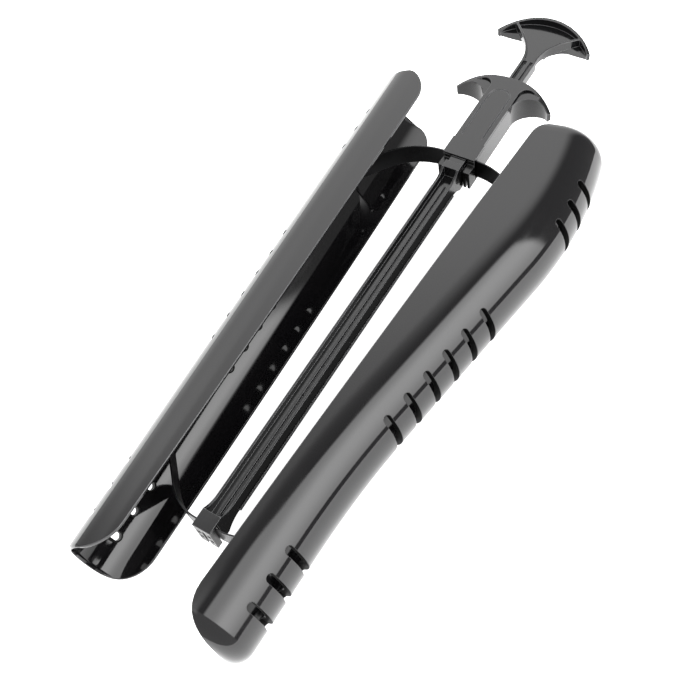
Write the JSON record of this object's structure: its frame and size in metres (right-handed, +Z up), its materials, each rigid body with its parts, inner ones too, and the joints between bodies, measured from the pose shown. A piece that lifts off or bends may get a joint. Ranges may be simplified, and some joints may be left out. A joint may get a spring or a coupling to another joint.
{
  "type": "boot shaft stretcher",
  "caption": "Boot-shaft stretcher: a straight and a calf-shaped shell on spring strips, drawn in by squeezing a T-shaped palm handle towards a winged finger grip.",
  "frame": {"origin": "on the table plane under the push rod's axis, level with the top edge of the lower hub's face", "axes": "+Y along the push rod from the lower hub to the palm handle, +X across to the calf shell, +Z up from the table the stretcher lies on"},
  "size_m": [0.1454, 0.4145, 0.048],
  "materials": {
    "shell_plastic": "gloss",
    "frame_plastic": "satin",
    "keeper_plastic": "satin",
    "spring_steel": "satin",
    "pin_steel": "satin"
  },
  "bodies": {
    "grip": {"grip_front": "frame_plastic", "grip_back": "frame_plastic", "upper_spring_keeper": "keeper_plastic"},
    "rod": {"push_rod": "frame_plastic", "lower_spring_keeper": "keeper_plastic"},
    "left_shell_side": {"left_shell": "shell_plastic", "upper_left_pin": "pin_steel", "lower_left_pin": "pin_steel"},
    "right_shell_side": {"right_shell": "shell_plastic", "upper_right_pin": "pin_steel", "lower_right_pin": "pin_steel"},
    "upper_left_strip": {"upper_left_spring": "spring_steel"},
    "upper_right_strip": {"upper_right_spring": "spring_steel"},
    "lower_left_strip": {"lower_left_spring": "spring_steel"},
    "lower_right_strip": {"lower_right_spring": "spring_steel"}
  },
  "joints": [
    {"name": "handle_squeeze", "type": "slide", "parent": "grip", "child": "rod", "axis": [0, -1, 0], "range_m": [0, 0.02], "stiffness_N_per_m": 900, "springref_m": -0.006},
    {"name": "left_shell_draw", "type": "slide", "parent": "grip", "child": "left_shell_side", "axis": [0.6934, -0.7205, 0], "range_m": [0, 0.01359]},
    {"name": "upper_left_spring_flex", "type": "hinge", "parent": "grip", "child": "upper_left_strip", "pos_m": [-0.0076, 0.242, 0.024], "axis": [0, 0, 1], "range_deg": [0, 12.47]},
    {"name": "lower_left_spring_flex", "type": "hinge", "parent": "rod", "child": "lower_left_strip", "pos_m": [-0.0032, -0.00535, 0.024], "axis": [0, 0, -1], "range_deg": [0, 14.76]},
    {"name": "right_shell_draw", "type": "slide", "parent": "grip", "child": "right_shell_side", "axis": [-0.7191, -0.6949, 0], "range_m": [0, 0.01349]},
    {"name": "upper_right_spring_flex", "type": "hinge", "parent": "grip", "child": "upper_right_strip", "pos_m": [0.0076, 0.242, 0.024], "axis": [0, 0, -1], "range_deg": [0, 9.91]},
    {"name": "lower_right_spring_flex", "type": "hinge", "parent": "rod", "child": "lower_right_strip", "pos_m": [0.0032, -0.00535, 0.024], "axis": [0, 0, 1], "range_deg": [0, 17.44]}
  ],
  "couplings": [
    {"joint": "left_shell_draw", "follows": "handle_squeeze", "ratio": 0.66965},
    {"joint": "upper_left_spring_flex", "follows": "handle_squeeze", "rad_per_m": 10.623},
    {"joint": "lower_left_spring_flex", "follows": "handle_squeeze", "rad_per_m": 12.62},
    {"joint": "right_shell_draw", "follows": "handle_squeeze", "ratio": 0.66435},
    {"joint": "upper_right_spring_flex", "follows": "handle_squeeze", "rad_per_m": 8.3842},
    {"joint": "lower_right_spring_flex", "follows": "handle_squeeze", "rad_per_m": 14.958}
  ]
}
